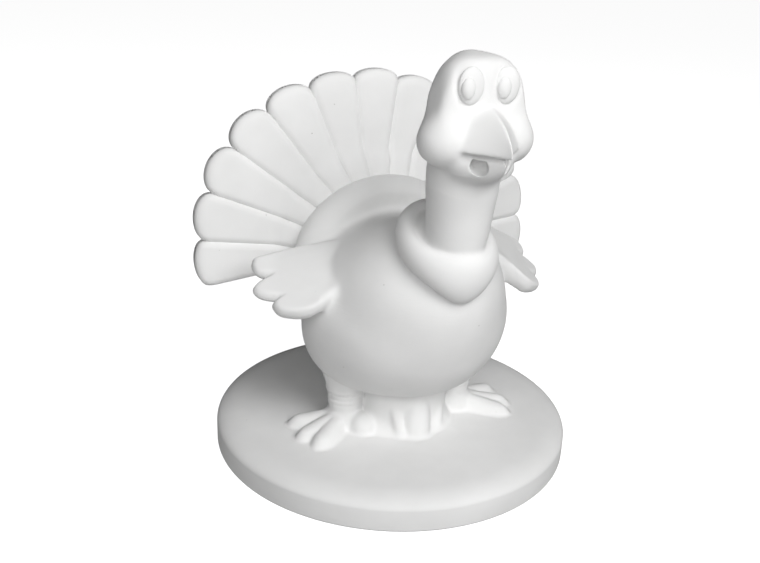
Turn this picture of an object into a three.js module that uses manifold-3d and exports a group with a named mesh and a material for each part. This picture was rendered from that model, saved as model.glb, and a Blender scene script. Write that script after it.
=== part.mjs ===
// A standing turkey of white unglazed earthenware on a round plinth, ready to be painted.
// Millimetres, +Z up. The bird faces -Y, and the origin is the middle of the plinth's underside.
// Each piece is pressed or cast by itself, and a thin slip joint parts it from its neighbours.
import * as THREE from "three";
import { mergeVertices } from "three/addons/utils/BufferGeometryUtils.js";
import Module from "manifold-3d";

const wasm = await Module();
wasm.setup();

// Clay: the slip joint between pieces, the wall of the cast body and the drain hole under it
const slipJoint = 0.3;
const bodyWall = 4.5;
const drainRadius = 5;
const drainForward = 11;
const drainFacets = 20;
const cutOverrun = 1;
const pillowFullness = 0.7;

// Plinth
const plinthRadius = 60;
const plinthHeight = 10.7;
const plinthShoulderRun = 8.1;
const plinthShoulderDrop = 3.5;
const plinthFootRadius = 1;
const plinthFacets = 56;

// Belly, measured up from the top of the plinth
const bellyClearance = 13.8;
const bellyWidth = 68;
const bellyDepth = 58;
const bellyHeight = 58;
const bellyFlattening = 4;
const bellyForward = 6.6;
const bellyEdgeRounding = 5;
const bodyFineness = 9;
const hollowFineness = 6;

// Lower belly, breast, chest, shoulders, mantle and tail root, placed from the belly's middle or ends
const paunchRadii = { x: 29.5, y: 25, z: 17 };
const paunchDrop = 10.5;
const paunchBack = 5;
const breastRadii = { x: 25, y: 21, z: 21 };
const breastForward = 12;
const breastRise = 1;
const chestRadii = { x: 20, y: 19, z: 17 };
const chestInset = 12;
const chestRise = 13;
const shoulderRadii = { x: 23, y: 22, z: 16 };
const shoulderForward = 8;
const shoulderRise = 14;
const mantleRadius = 32;
const mantleThickness = 11;
const mantleInset = 7.6;
const mantleRise = 6.5;
const mantleFootRise = 12;
const tailRootRadii = { x: 11, y: 8, z: 11 };
const tailRootInset = 1;
const tailRootRise = 11;
const bodyBlend = 9;
const mantleBlend = 16;
const heartBack = 9;
const heartRise = 5;

// Tail fan, placed from the tail root
const featherCount = 13;
const featherStep = 15;
const featherTipRadius = 61.8;
const featherNotchRadius = 58.6;
const featherTipFullness = { right: 4.4, left: 2.4 };
const featherNotchFullness = 2;
const featherFullTurn = 51;
const featherLeftTrim = 1.2;
const featherRootRadius = 7;
const featherThickness = 7.5;
const fanBack = 2.4;
const fanLean = 1.8;

// Neck, placed from the middle of the chest
const neckForward = 12.5;
const neckReach = 4.2;
const neckLength = 58.5;
const neckFootRadius = 7.8;
const neckBulgeRadius = 9.2;
const neckTopRadius = 10.6;
const neckFootRise = 9;
const neckBulgeRise = 23;
const neckTopRise = 45;
const neckHeelSweep = 7;
const neckFacets = 24;

// Head, placed from the top of the neck
const skullRadii = { x: 9.8, y: 11, z: 14.3 };
const skullBack = 3;
const faceRadii = { x: 13, y: 6.2, z: 13.8 };
const faceFlatness = 3.6;
const faceForward = 2.6;
const cheekRadii = { x: 7.6, y: 7.2, z: 7.2 };
const cheekSpread = 9.4;
const cheekDrop = 8;
const cheekForward = 3.8;
const browRadii = { x: 5.4, y: 5, z: 5 };
const browSpread = 4.6;
const browRise = 8;
const browForward = 3.2;
const muzzleRadii = { x: 8, y: 6, z: 6.4 };
const muzzleForward = 6;
const muzzleDrop = 9.4;
const headBlend = 4;
const headFineness = 7;

// Eyes and pupils, placed from the middle of the skull
const eyeRadii = { x: 3.75, y: 1.6, z: 4.9 };
const eyeSpread = 5.3;
const eyeRise = 7;
const eyeProud = 0.5;
const pupilRadii = { x: 2.2, y: 1.2, z: 3.2 };
const pupilGlance = 1.3;
const pupilDrop = 0.5;
const pupilProud = 0.45;
const eyeFineness = 2;
const pupilFineness = 1;

// Beak, placed from the middle of the skull
const beakLength = 23.2;
const beakTipDrop = 9.3;
const beakGapeDrop = 9.5;
const beakGapeHalfWidth = 11;
const beakRidgeHeight = 12.4;
const beakRidgeSharpness = 1.6;
const beakFloorDepth = 1.2;
const lowerBeakLength = 20.4;
const lowerBeakTipDrop = 11.2;
const lowerBeakRootDrop = 14.4;
const lowerBeakHalfWidth = 8.2;
const lowerBeakDepth = 6.6;
const lowerBeakFloorRise = 0.6;
const lowerBeakSharpness = 1;
const beakTaper = 0.6;
const beakTaperFall = 1.25;
const beakRidgeFall = 2;
const beakBluntness = 0.57;
const beakFacets = 16;

// Collar round the foot of the neck, resting on the shoulders and the chest
const collarHalfWidth = 11.4;
const collarHalfLength = 12.6;
const collarForward = 8.6;
const collarTilt = 5.5;
const collarPointDrop = 1.2;
const collarRollThickness = 3.7;
const collarSideHeight = 5;
const collarFrontHeight = 7.6;
const collarOverhang = 1.2;
const collarSteps = 36;
const collarFacets = 10;

// Wings, placed from the side of the belly
const wingOutset = 3.5;
const wingBack = 2.5;
const wingRise = { right: 14, left: 14.2 };
const wingDroop = { right: 9, left: 27 };
const wingSlope = 32;
const wingTwist = 0.25;
const wingThickness = 7;
const wingRootSwell = 0.4;
const wingFingerReach = [12, 13.8, 9.6];
const wingFingerPlace = [-7, 1.6, 10.8];
const wingNotchReach = [8.5, 8];
const wingNotchPlace = [-1.3, 7.2];
const wingFingerRounding = 2.6;
const wingRootBackChord = 8;
const wingHemChord = 16.3;
const wingHemReach = 3;
const wingRootFrontChord = 10;
const wingRootReach = 18;

// Legs, feet and the prop under the belly
const legInset = 14;
const legSpread = bellyWidth / 2 - legInset;
const legTopRadius = 9;
const legAnkleRadius = 5.4;
const legCrease = 0.5;
const ankleRise = 6.5;
const toeReach = [{ out: 15.5, forward: 14.4 }, { out: 19.2, forward: 7.4 }, { out: 18.8, forward: -3.6 }];
const toeRadius = 3.7;
const toeThickness = 3.6;
const toeRootDrop = 1;
const toeRoundingStart = 0.7;
const toeBluntness = 0.14;
const toeFacets = 12;
const heelMargin = 2;
const heelLift = 1;
const heelFineness = 2;
const legFacets = 18;
const propHalfWidth = 15.5;
const propHalfDepth = 13.5;
const propFlare = 1.6;
const propFlareHeight = 0.4;
const propLobes = 10;
const propLobeDepth = 0.6;
const propFacets = 60;

const bisque = { color: 0xf2f0ec, roughness: 0.9, metalness: 0 };
const plinthTop = plinthHeight;
const point = (x, y, z) => new THREE.Vector3(x, y, z);
const radiiOf = ({ x, y, z }) => point(x, y, z);
const mix = THREE.MathUtils.lerp;
const radians = THREE.MathUtils.degToRad;

// A closed solid from points and triangles, turned to face outwards
function solidFrom(points, triangles) {
  const volume = triangles.reduce((sum, [a, b, c]) => {
    return sum + points[a].dot(points[b].clone().cross(points[c]));
  }, 0);
  const facing = volume < 0 ? triangles.map(([a, b, c]) => [a, c, b]) : triangles;
  const vertProperties = new Float32Array(points.flatMap((spot) => spot.toArray()));
  const triVerts = new Uint32Array(facing.flat());
  return new wasm.Manifold(new wasm.Mesh({ numProp: 3, vertProperties, triVerts }));
}

// A closed solid from a three.js geometry, with its doubled vertices merged
function solidOf(geometry) {
  const bare = geometry.clone();
  bare.deleteAttribute("normal");
  bare.deleteAttribute("uv");
  const merged = mergeVertices(bare, 1e-4);
  const spots = merged.getAttribute("position");
  const order = merged.getIndex().array;
  const points = Array.from({ length: spots.count }, (_, i) => point(0, 0, 0).fromBufferAttribute(spots, i));
  const triangles = [];
  for (let i = 0; i < order.length; i += 3) {
    const [a, b, c] = order.slice(i, i + 3);
    if (a !== b && b !== c && c !== a) triangles.push([a, b, c]);
  }
  return solidFrom(points, triangles);
}

// A skin over rings of points, closed at both ends by a fan about the ring's middle
function loft(rings) {
  const around = rings[0].length;
  const points = rings.flat();
  const triangles = [];
  for (let ring = 0; ring + 1 < rings.length; ring++) {
    for (let i = 0; i < around; i++) {
      const a = ring * around + i;
      const b = ring * around + ((i + 1) % around);
      triangles.push([a, b, b + around], [a, b + around, a + around]);
    }
  }
  for (const [ring, turn] of [[0, false], [rings.length - 1, true]]) {
    const middle = rings[ring].reduce((sum, spot) => sum.add(spot), point(0, 0, 0)).divideScalar(around);
    const hub = points.push(middle) - 1;
    for (let i = 0; i < around; i++) {
      const a = ring * around + i;
      const b = ring * around + ((i + 1) % around);
      triangles.push(turn ? [a, b, hub] : [b, a, hub]);
    }
  }
  return solidFrom(points, triangles);
}

// A level ring: an oval of points round a centre
function levelRing(centre, halfWidth, halfDepth, facets) {
  return Array.from({ length: facets }, (_, i) => {
    const turn = (2 * Math.PI * i) / facets;
    return point(centre.x + halfWidth * Math.cos(turn), centre.y + halfDepth * Math.sin(turn), centre.z);
  });
}

// A pillow over a flat outline: rings that shrink towards its heart and swell to the full thickness
function pillow(outline, heart, thickness, layers, place) {
  const ringAt = (layer, side) => outline.map((spot) => {
    const share = Math.cos(radians(layer)) ** pillowFullness;
    const swell = (side * thickness * Math.sin(radians(layer)) ** pillowFullness) / 2;
    return place(mix(heart.x, spot.x, share), mix(heart.y, spot.y, share), swell);
  });
  const under = [...layers].reverse().map((layer) => ringAt(layer, -1));
  const over = layers.slice(1).map((layer) => ringAt(layer, 1));
  return loft([...under, ...over]);
}

// An egg-shaped lump, flatter in front and behind for a flatness over 2, as a distance that is nearly true
// close to its skin
function eggLump(at, radii, flatness = 2) {
  return (spot) => {
    const scaled = spot.clone().sub(at).divide(radii);
    const outline = Math.hypot(scaled.x, scaled.z);
    const depth = Math.abs(scaled.y);
    const size = (outline ** flatness + depth ** flatness) ** (1 / flatness);
    if (size === 0) return -Math.min(...radii.toArray());
    const outward = outline > 0 ? (outline / size) ** (flatness - 1) / outline : 0;
    const forward = (depth / size) ** (flatness - 1);
    const slope = point(outward * scaled.x, forward, outward * scaled.z).divide(radii);
    return (size - 1) / slope.length();
  };
}

// A round slab facing +Y with a fully rounded rim, as a distance
function slabLump(at, radius, thickness) {
  const rim = thickness / 2;
  return (spot) => {
    const { x, y, z } = spot.clone().sub(at);
    return Math.hypot(Math.max(Math.hypot(x, z) - radius + rim, 0), y) - rim;
  };
}

// Two distances joined with a soft fillet
function softMin(a, b, blend) {
  const share = Math.max(blend - Math.abs(a - b), 0) / blend;
  return Math.min(a, b) - (share * share * blend) / 4;
}

// Lumps of clay pressed together with a soft fillet between them
function lumpsDistance(spot, lumps, blend) {
  return lumps.map((lump) => lump(spot)).reduce((a, b) => softMin(a, b, blend));
}

// How far a form reaches from a point inside it along a ray, at an offset from its surface
function reachAlong(form, start, ray, offset) {
  let near = 0;
  let far = 2 * plinthRadius;
  for (let step = 0; step < 40; step++) {
    const middle = (near + far) / 2;
    if (form(start.clone().addScaledVector(ray, middle)) < offset) near = middle;
    else far = middle;
  }
  return near;
}

// A ball blown out from a heart until it meets the form
function blown(form, heart, fineness, offset = 0) {
  const ball = new THREE.IcosahedronGeometry(1, fineness);
  const spots = ball.getAttribute("position");
  for (let i = 0; i < spots.count; i++) {
    const ray = point(0, 0, 0).fromBufferAttribute(spots, i).normalize();
    const skin = heart.clone().addScaledVector(ray, reachAlong(form, heart, ray, offset));
    spots.setXYZ(i, skin.x, skin.y, skin.z);
  }
  return solidOf(ball);
}

const egg = (at, radii, fineness, grow = 0) => {
  const ball = new THREE.IcosahedronGeometry(1, fineness);
  ball.scale(radii.x + grow, radii.y + grow, radii.z + grow);
  ball.translate(at.x, at.y, at.z);
  return solidOf(ball);
};

const upright = (radius, low, high, at, facets) => {
  const post = new THREE.CylinderGeometry(radius, radius, high - low, facets);
  post.rotateX(Math.PI / 2);
  post.translate(at.x, at.y, (low + high) / 2);
  return solidOf(post);
};

const sides = [["right", -1], ["left", 1]];

// Places that the pieces share
const bellyUnderside = plinthTop + bellyClearance;
const bellyMiddle = point(0, -bellyForward, bellyUnderside + bellyHeight / 2 - bellyFlattening);
const bellyFront = bellyMiddle.clone().add(point(0, -bellyDepth / 2, 0));
const bellyBack = bellyMiddle.clone().add(point(0, bellyDepth / 2, 0));
const chestMiddle = bellyFront.clone().add(point(0, chestInset, chestRise));
const shoulderMiddle = bellyMiddle.clone().add(point(0, -shoulderForward, shoulderRise));
const neckFoot = chestMiddle.clone().add(point(0, -neckForward, 0));
const skullMiddle = neckFoot.clone().add(point(0, -neckReach, neckLength));
const tailRoot = bellyBack.clone().add(point(0, -tailRootInset, tailRootRise));
const fanHub = tailRoot.clone().add(point(0, fanBack, 0));
const drainAt = point(0, -drainForward, 0);

// The bird is put together from four groups: the stand, the trunk, the tail fan and the head
const turkey = new THREE.Group();

function groupAt(place) {
  const group = new THREE.Group();
  group.position.copy(place);
  turkey.add(group);
  return group;
}

const stand = groupAt(point(0, 0, plinthTop));
const trunk = groupAt(bellyMiddle);
const tail = groupAt(fanHub);
const crown = groupAt(skullMiddle);

// A piece is added to its group as a mesh, measured from the group's own place
function addPiece(group, name, solid) {
  const mesh = solid.getMesh();
  const geometry = new THREE.BufferGeometry();
  geometry.setAttribute("position", new THREE.BufferAttribute(mesh.vertProperties, 3));
  geometry.setIndex(new THREE.BufferAttribute(mesh.triVerts, 1));
  geometry.translate(-group.position.x, -group.position.y, -group.position.z);
  geometry.computeVertexNormals();
  const piece = new THREE.Mesh(geometry, new THREE.MeshStandardMaterial(bisque));
  piece.name = name;
  group.add(piece);
}

// Plinth: a turned disc with a soft shoulder
function makePlinth() {
  const profile = [new THREE.Vector2(0, 0)];
  for (const turn of [0, 45, 90]) {
    const out = plinthRadius - plinthFootRadius * (1 - Math.sin(radians(turn)));
    profile.push(new THREE.Vector2(out, plinthFootRadius * (1 - Math.cos(radians(turn)))));
  }
  for (const turn of [0, 22.5, 45, 67.5, 90]) {
    const out = plinthRadius - plinthShoulderRun * (1 - Math.cos(radians(turn)));
    profile.push(new THREE.Vector2(out, plinthHeight - plinthShoulderDrop * (1 - Math.sin(radians(turn)))));
  }
  profile.push(new THREE.Vector2(0, plinthHeight));
  const disc = new THREE.LatheGeometry(profile, plinthFacets);
  disc.rotateX(Math.PI / 2);
  const drain = upright(drainRadius, -cutOverrun, plinthTop + cutOverrun, drainAt, drainFacets);
  addPiece(stand, "base_plinth", solidOf(disc).subtract(drain));
}

// Body: belly, breast, chest, shoulders, back mantle and tail root as one hollow casting
const bodyLumps = [
  eggLump(bellyMiddle, point(bellyWidth / 2, bellyDepth / 2, bellyHeight / 2)),
  eggLump(bellyMiddle.clone().add(point(0, paunchBack, -paunchDrop)), radiiOf(paunchRadii)),
  eggLump(bellyMiddle.clone().add(point(0, -breastForward, breastRise)), radiiOf(breastRadii)),
  eggLump(chestMiddle, radiiOf(chestRadii)),
  eggLump(shoulderMiddle, radiiOf(shoulderRadii)),
  eggLump(tailRoot, radiiOf(tailRootRadii)),
];
const mantleMiddle = bellyBack.clone().add(point(0, -mantleInset, mantleRise));
const mantleLump = slabLump(mantleMiddle, mantleRadius, mantleThickness);

function bodyForm(spot) {
  const mantle = -softMin(-mantleLump(spot), spot.z - bellyMiddle.z - mantleFootRise, mantleBlend);
  const trunk = softMin(lumpsDistance(spot, bodyLumps, bodyBlend), mantle, mantleBlend);
  return -softMin(-trunk, spot.z - bellyUnderside, bellyEdgeRounding);
}

const bodyHeart = bellyMiddle.clone().add(point(0, heartBack, heartRise));
const bodyClear = blown(bodyForm, bodyHeart, bodyFineness, slipJoint);

function makeBody() {
  const outer = blown(bodyForm, bodyHeart, bodyFineness);
  const hollow = blown(bodyForm, bodyHeart, hollowFineness, -bodyWall);
  const drain = upright(drainRadius, 0, bellyMiddle.z, drainAt, drainFacets);
  addPiece(trunk, "body_shell", outer.subtract(hollow).subtract(drain));
}

// Tail fan: petals with scalloped tips, set edge to edge round the tail root, fuller on the diagonals and
// on the bird's right
function featherOutline(turn) {
  const half = radians(featherStep / 2);
  const edge = slipJoint / 2;
  const side = turn > 0 ? "left" : "right";
  const trim = turn > 0 ? featherLeftTrim : 0;
  const fullness = (share) => {
    return Math.sin((Math.PI / 2) * ((turn + half * share) / radians(featherFullTurn))) ** 2;
  };
  const notch = (share) => featherNotchRadius - trim + featherNotchFullness * fullness(share);
  const crown = (share) => featherTipRadius - trim + featherTipFullness[side] * fullness(share);
  const tip = [-1, -0.85, -0.55, -0.2, 0.2, 0.55, 0.85, 1].map((share) => {
    const reach = mix(notch(share), crown(share), Math.sqrt(1 - share * share));
    return new THREE.Vector2(reach * Math.sin(half * share) - edge * share, reach * Math.cos(half * share));
  });
  const flank = (side) => [0.66, 0.33, 0].map((share) => {
    const reach = mix(featherRootRadius, notch(side), share);
    return new THREE.Vector2(side * (reach * Math.sin(half) - edge), reach * Math.cos(half));
  });
  return [...tip, ...flank(1), ...flank(-1).reverse()];
}

function makeFeathers() {
  const heart = new THREE.Vector2(0, mix(featherRootRadius, featherTipRadius, 0.6));
  const lean = new THREE.Matrix4().makeRotationX(radians(-fanLean));
  for (let number = 1; number <= featherCount; number++) {
    const turn = radians((number - (featherCount + 1) / 2) * featherStep);
    const swing = new THREE.Matrix4().makeRotationY(turn);
    const place = (across, along, swell) => {
      return point(across, -swell, along).applyMatrix4(swing).applyMatrix4(lean).add(fanHub);
    };
    const petal = pillow(featherOutline(turn), heart, featherThickness, [0, 24, 52], place);
    addPiece(tail, `tail_feather_${String(number).padStart(2, "0")}`, petal.subtract(bodyClear));
  }
}

// Wings: paddles with three finger feathers, twisted a little towards the shoulder
function wingOutline() {
  const spots = [new THREE.Vector2(-wingRootReach, -wingRootBackChord)];
  wingFingerReach.forEach((reach, finger) => {
    const place = wingFingerPlace[finger];
    spots.push(new THREE.Vector2(reach - wingFingerRounding, place - wingFingerRounding));
    spots.push(new THREE.Vector2(reach, place));
    spots.push(new THREE.Vector2(reach - wingFingerRounding / 2, place + wingFingerRounding));
    if (finger < wingNotchReach.length) {
      spots.push(new THREE.Vector2(wingNotchReach[finger], wingNotchPlace[finger]));
    }
  });
  spots.push(new THREE.Vector2(-wingHemReach, wingHemChord));
  spots.push(new THREE.Vector2(-wingRootReach, wingRootFrontChord));
  return new THREE.SplineCurve([...spots, spots[0]]).getPoints(32).slice(0, -1);
}

function makeWings() {
  const tipReach = Math.max(...wingFingerReach);
  const heart = new THREE.Vector2(-wingRootReach / 5, 0);
  const slope = radians(wingSlope);
  const chordAxis = point(0, -Math.cos(slope), -Math.sin(slope));
  for (const [side, sign] of sides) {
    const wrist = bellyMiddle.clone().add(point(bellyWidth / 2 + wingOutset, wingBack, wingRise[side]));
    const droop = radians(wingDroop[side]);
    const spanAxis = point(Math.cos(droop), 0, -Math.sin(droop));
    const topAxis = chordAxis.clone().cross(spanAxis).normalize();
    const place = (along, across, swell) => {
      const inward = THREE.MathUtils.clamp((tipReach - along) / (tipReach + wingRootReach), 0, 1);
      const lift = swell * (1 + wingRootSwell * inward) + wingTwist * across * inward;
      const spot = wrist.clone().addScaledVector(spanAxis, along).addScaledVector(chordAxis, across);
      spot.addScaledVector(topAxis, lift);
      return point(spot.x * sign, spot.y, spot.z);
    };
    const paddle = pillow(wingOutline(), heart, wingThickness, [0, 20, 45, 70], place);
    addPiece(trunk, `${side}_wing`, paddle.subtract(bodyClear));
  }
}

// Neck: a column that swells towards the head, rounds in at its foot and sweeps back at its heel
const neckRings = [
  { rise: neckFootRise, radius: neckFootRadius / 2, sweep: neckHeelSweep },
  { rise: mix(neckFootRise, neckBulgeRise, 0.3), radius: neckFootRadius, sweep: neckHeelSweep },
  {
    rise: mix(neckFootRise, neckBulgeRise, 0.65),
    radius: mix(neckFootRadius, neckBulgeRadius, 0.65),
    sweep: neckHeelSweep / 2,
  },
  { rise: neckBulgeRise, radius: neckBulgeRadius, sweep: 0 },
  { rise: mix(neckBulgeRise, neckTopRise, 0.6), radius: mix(neckBulgeRadius, neckTopRadius, 0.8), sweep: 0 },
  { rise: neckTopRise, radius: neckTopRadius, sweep: 0 },
  { rise: neckLength, radius: neckTopRadius / 2, sweep: 0 },
];

function neckSolid(grow) {
  return loft(neckRings.map(({ rise, radius, sweep }) => {
    const middle = neckFoot.clone().lerp(skullMiddle, rise / neckLength).add(point(0, sweep / 2, 0));
    return levelRing(middle, radius + grow, radius + sweep / 2 + grow, neckFacets);
  }));
}

// Head: skull, flat face, muzzle, cheeks and brows pressed together
const fromSkull = (x, forward, rise) => skullMiddle.clone().add(point(x, -forward, rise));
const headLumps = [
  eggLump(fromSkull(0, -skullBack, 0), radiiOf(skullRadii)),
  eggLump(fromSkull(0, faceForward, 0), radiiOf(faceRadii), faceFlatness),
  eggLump(fromSkull(0, muzzleForward, -muzzleDrop), radiiOf(muzzleRadii)),
  ...sides.flatMap(([, sign]) => [
    eggLump(fromSkull(sign * cheekSpread, cheekForward, -cheekDrop), radiiOf(cheekRadii)),
    eggLump(fromSkull(sign * browSpread, browForward, browRise), radiiOf(browRadii)),
  ]),
];
const headForm = (spot) => lumpsDistance(spot, headLumps, headBlend);
const headClear = blown(headForm, skullMiddle, headFineness, slipJoint);
const facing = point(0, -1, 0);

function eyePlace(sign) {
  const spread = skullMiddle.clone().add(point(sign * eyeSpread, 0, eyeRise));
  const face = spread.y - reachAlong(headForm, spread, facing, 0);
  return point(spread.x, face + eyeRadii.y - eyeProud, spread.z);
}

function pupilPlace(sign) {
  const eye = eyePlace(sign);
  const share = 1 - (pupilGlance / eyeRadii.x) ** 2 - (pupilDrop / eyeRadii.z) ** 2;
  const front = eye.y - eyeRadii.y * Math.sqrt(share);
  return point(eye.x - pupilGlance, front + pupilRadii.y - pupilProud, eye.z - pupilDrop);
}

function makeNeckAndHead() {
  addPiece(crown, "neck", neckSolid(0).subtract(bodyClear).subtract(headClear));
  let head = blown(headForm, skullMiddle, headFineness);
  for (const [side, sign] of sides) {
    head = head.subtract(egg(eyePlace(sign), eyeRadii, eyeFineness, slipJoint));
    const eye = egg(eyePlace(sign), eyeRadii, eyeFineness);
    addPiece(crown, `${side}_eye`, eye.subtract(egg(pupilPlace(sign), pupilRadii, pupilFineness, slipJoint)));
    head = head.subtract(egg(pupilPlace(sign), pupilRadii, pupilFineness, slipJoint));
    addPiece(crown, `${side}_pupil`, egg(pupilPlace(sign), pupilRadii, pupilFineness));
  }
  addPiece(crown, "head", head);
}

// Beak: two horns with a ridge, cut to the face, gaping a little
function hornRings(root, tip, ridge, halfWidth, floor, sharpness) {
  return [0, 0.2, 0.4, 0.6, 0.78, 0.9, 0.965, 0.992].map((share) => {
    const narrow = Math.min(1, (1 - share) / beakTaper) ** beakTaperFall;
    const low = (1 - share ** beakRidgeFall) ** beakBluntness;
    const middle = root.clone().lerp(tip, share);
    return Array.from({ length: beakFacets }, (_, i) => {
      const turn = (2 * Math.PI * i) / beakFacets;
      const height = Math.sin(turn) > 0 ? ridge : floor;
      const wide = Math.sign(Math.cos(turn)) * Math.abs(Math.cos(turn)) ** sharpness;
      const high = Math.sign(Math.sin(turn)) * Math.abs(Math.sin(turn)) ** sharpness;
      return point(middle.x + halfWidth * narrow * wide, middle.y, middle.z + height * low * high);
    });
  });
}

function makeBeak() {
  const tip = fromSkull(0, beakLength, -beakTipDrop);
  const root = fromSkull(0, 0, -beakGapeDrop);
  const upper = loft(hornRings(
    root, tip, beakRidgeHeight, beakGapeHalfWidth, beakFloorDepth, beakRidgeSharpness,
  ));
  const lowerTip = fromSkull(0, lowerBeakLength, -lowerBeakTipDrop);
  const lowerRoot = fromSkull(0, 0, -lowerBeakRootDrop);
  const lower = loft(hornRings(
    lowerRoot, lowerTip, lowerBeakFloorRise, lowerBeakHalfWidth, lowerBeakDepth, lowerBeakSharpness,
  ));
  const neckClear = neckSolid(slipJoint);
  addPiece(crown, "upper_beak", upper.subtract(headClear).subtract(neckClear));
  const upperClear = upper.translate(0, 0, -slipJoint);
  addPiece(crown, "lower_beak", lower.subtract(headClear).subtract(neckClear).subtract(upperClear));
}

// Collar: a soft cowl laid round the foot of the neck, drawn to a point on the chest
function makeCollar() {
  const rest = shoulderMiddle.z + shoulderRadii.z;
  const middle = point(0, chestMiddle.y - collarForward, rest);
  const points = [];
  const triangles = [];
  for (let i = 0; i < collarSteps; i++) {
    const turn = (2 * Math.PI * i) / collarSteps;
    const front = Math.max(Math.cos(turn), 0) ** 4;
    const outward = point(Math.sin(turn), -Math.cos(turn), 0);
    const centre = middle.clone().add(point(
      collarHalfWidth * Math.sin(turn),
      -collarHalfLength * Math.cos(turn),
      -collarTilt * Math.cos(turn) - collarPointDrop * front,
    ));
    const height = mix(collarSideHeight, collarFrontHeight, front);
    for (let j = 0; j < collarFacets; j++) {
      const bend = (2 * Math.PI * j) / collarFacets;
      const out = collarRollThickness * Math.cos(bend) + collarOverhang * front * Math.sin(bend);
      points.push(centre.clone().addScaledVector(outward, out).add(point(0, 0, height * Math.sin(bend))));
      const here = i * collarFacets;
      const next = ((i + 1) % collarSteps) * collarFacets;
      const up = (j + 1) % collarFacets;
      triangles.push([here + j, next + j, next + up], [here + j, next + up, here + up]);
    }
  }
  const roll = solidFrom(points, triangles);
  addPiece(trunk, "collar", roll.subtract(bodyClear).subtract(neckSolid(slipJoint)));
}

// Legs and feet: short thick legs with an ankle crease, and three splayed toes on the plinth
const ankleAt = (sign) => point(sign * legSpread, -bellyForward, plinthTop + ankleRise);

function legSolid(sign, grow) {
  const ankle = ankleAt(sign);
  const legAt = (rise, radius) => {
    return levelRing(point(ankle.x, ankle.y, rise), radius + grow, radius + grow, legFacets);
  };
  return loft([
    legAt(ankle.z - grow, legAnkleRadius),
    legAt(mix(ankle.z, bellyUnderside, 0.3), legAnkleRadius + legCrease),
    legAt(mix(ankle.z, bellyUnderside, 0.5), legAnkleRadius),
    legAt(mix(ankle.z, bellyUnderside, 0.75), legAnkleRadius + 2 * legCrease),
    legAt(bellyMiddle.z, legTopRadius),
  ]);
}

function toeSolid(ankle, along, grow) {
  const across = point(-along.y, along.x, 0).normalize();
  return loft([0, 0.35, 0.7, 0.88, 0.97, 1].map((share) => {
    const past = Math.max(share - toeRoundingStart, 0) / (1 - toeRoundingStart);
    const rounding = Math.sqrt(1 - past * past) + toeBluntness * past;
    const fall = Math.min(share / toeRoundingStart, 1);
    const rise = mix(ankleRise - toeRootDrop, toeThickness, fall) * rounding;
    const middle = point(ankle.x, ankle.y, plinthTop).addScaledVector(along, share);
    return Array.from({ length: toeFacets }, (_, i) => {
      const turn = (2 * Math.PI * i) / toeFacets;
      const spot = middle.clone().addScaledVector(across, (toeRadius * rounding + grow) * Math.cos(turn));
      spot.z += (rise + grow) * Math.sin(turn);
      return spot;
    });
  }));
}

function footSolid(sign, grow) {
  const ankle = ankleAt(sign);
  const heelRadius = legAnkleRadius + heelMargin;
  const heelAt = point(ankle.x, ankle.y, plinthTop + heelLift);
  const heel = egg(heelAt, point(heelRadius, heelRadius, ankleRise), heelFineness, grow);
  return toeReach.reduce((foot, { out, forward }) => {
    return foot.add(toeSolid(ankle, point(sign * out, -forward, 0), grow));
  }, heel);
}

function makeLegs() {
  const ground = upright(plinthRadius, -plinthHeight, plinthTop + slipJoint, point(0, 0, 0), plinthFacets);
  for (const [side, sign] of sides) {
    addPiece(stand, `${side}_leg`, legSolid(sign, 0).subtract(bodyClear));
    addPiece(stand, `${side}_foot`, footSolid(sign, 0).subtract(ground).subtract(legSolid(sign, slipJoint)));
  }
}

// Prop: the drain post that carries the belly and fills the space between the legs, swelling at its foot,
// with leaf-like lobes in front
function makeProp() {
  const rings = [0, 0.15, 0.4, 1, 2].map((share) => {
    const swell = propFlare * (1 - Math.min(share / propFlareHeight, 1)) ** 2;
    const rise = mix(plinthTop + slipJoint, bellyUnderside, share);
    return Array.from({ length: propFacets }, (_, i) => {
      const turn = (2 * Math.PI * i) / propFacets;
      const lobe = propLobeDepth * Math.cos(propLobes * turn);
      return point(
        (propHalfWidth + swell + lobe) * Math.cos(turn),
        drainAt.y + (propHalfDepth + swell + lobe) * Math.sin(turn),
        rise,
      );
    });
  });
  const drain = upright(drainRadius, 0, bellyMiddle.z, drainAt, drainFacets);
  let prop = loft(rings).subtract(bodyClear).subtract(drain);
  for (const [, sign] of sides) {
    prop = prop.subtract(legSolid(sign, slipJoint)).subtract(footSolid(sign, slipJoint));
  }
  addPiece(stand, "belly_prop", prop);
}

makePlinth();
makeLegs();
makeProp();
makeBody();
makeFeathers();
makeWings();
makeCollar();
makeNeckAndHead();
makeBeak();

export default turkey;
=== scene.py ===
import math
import bmesh
import bpy
import numpy as np
from mathutils import Matrix, Vector
from mathutils.bvhtree import BVHTree
from mathutils.geometry import interpolate_bezier


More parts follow.
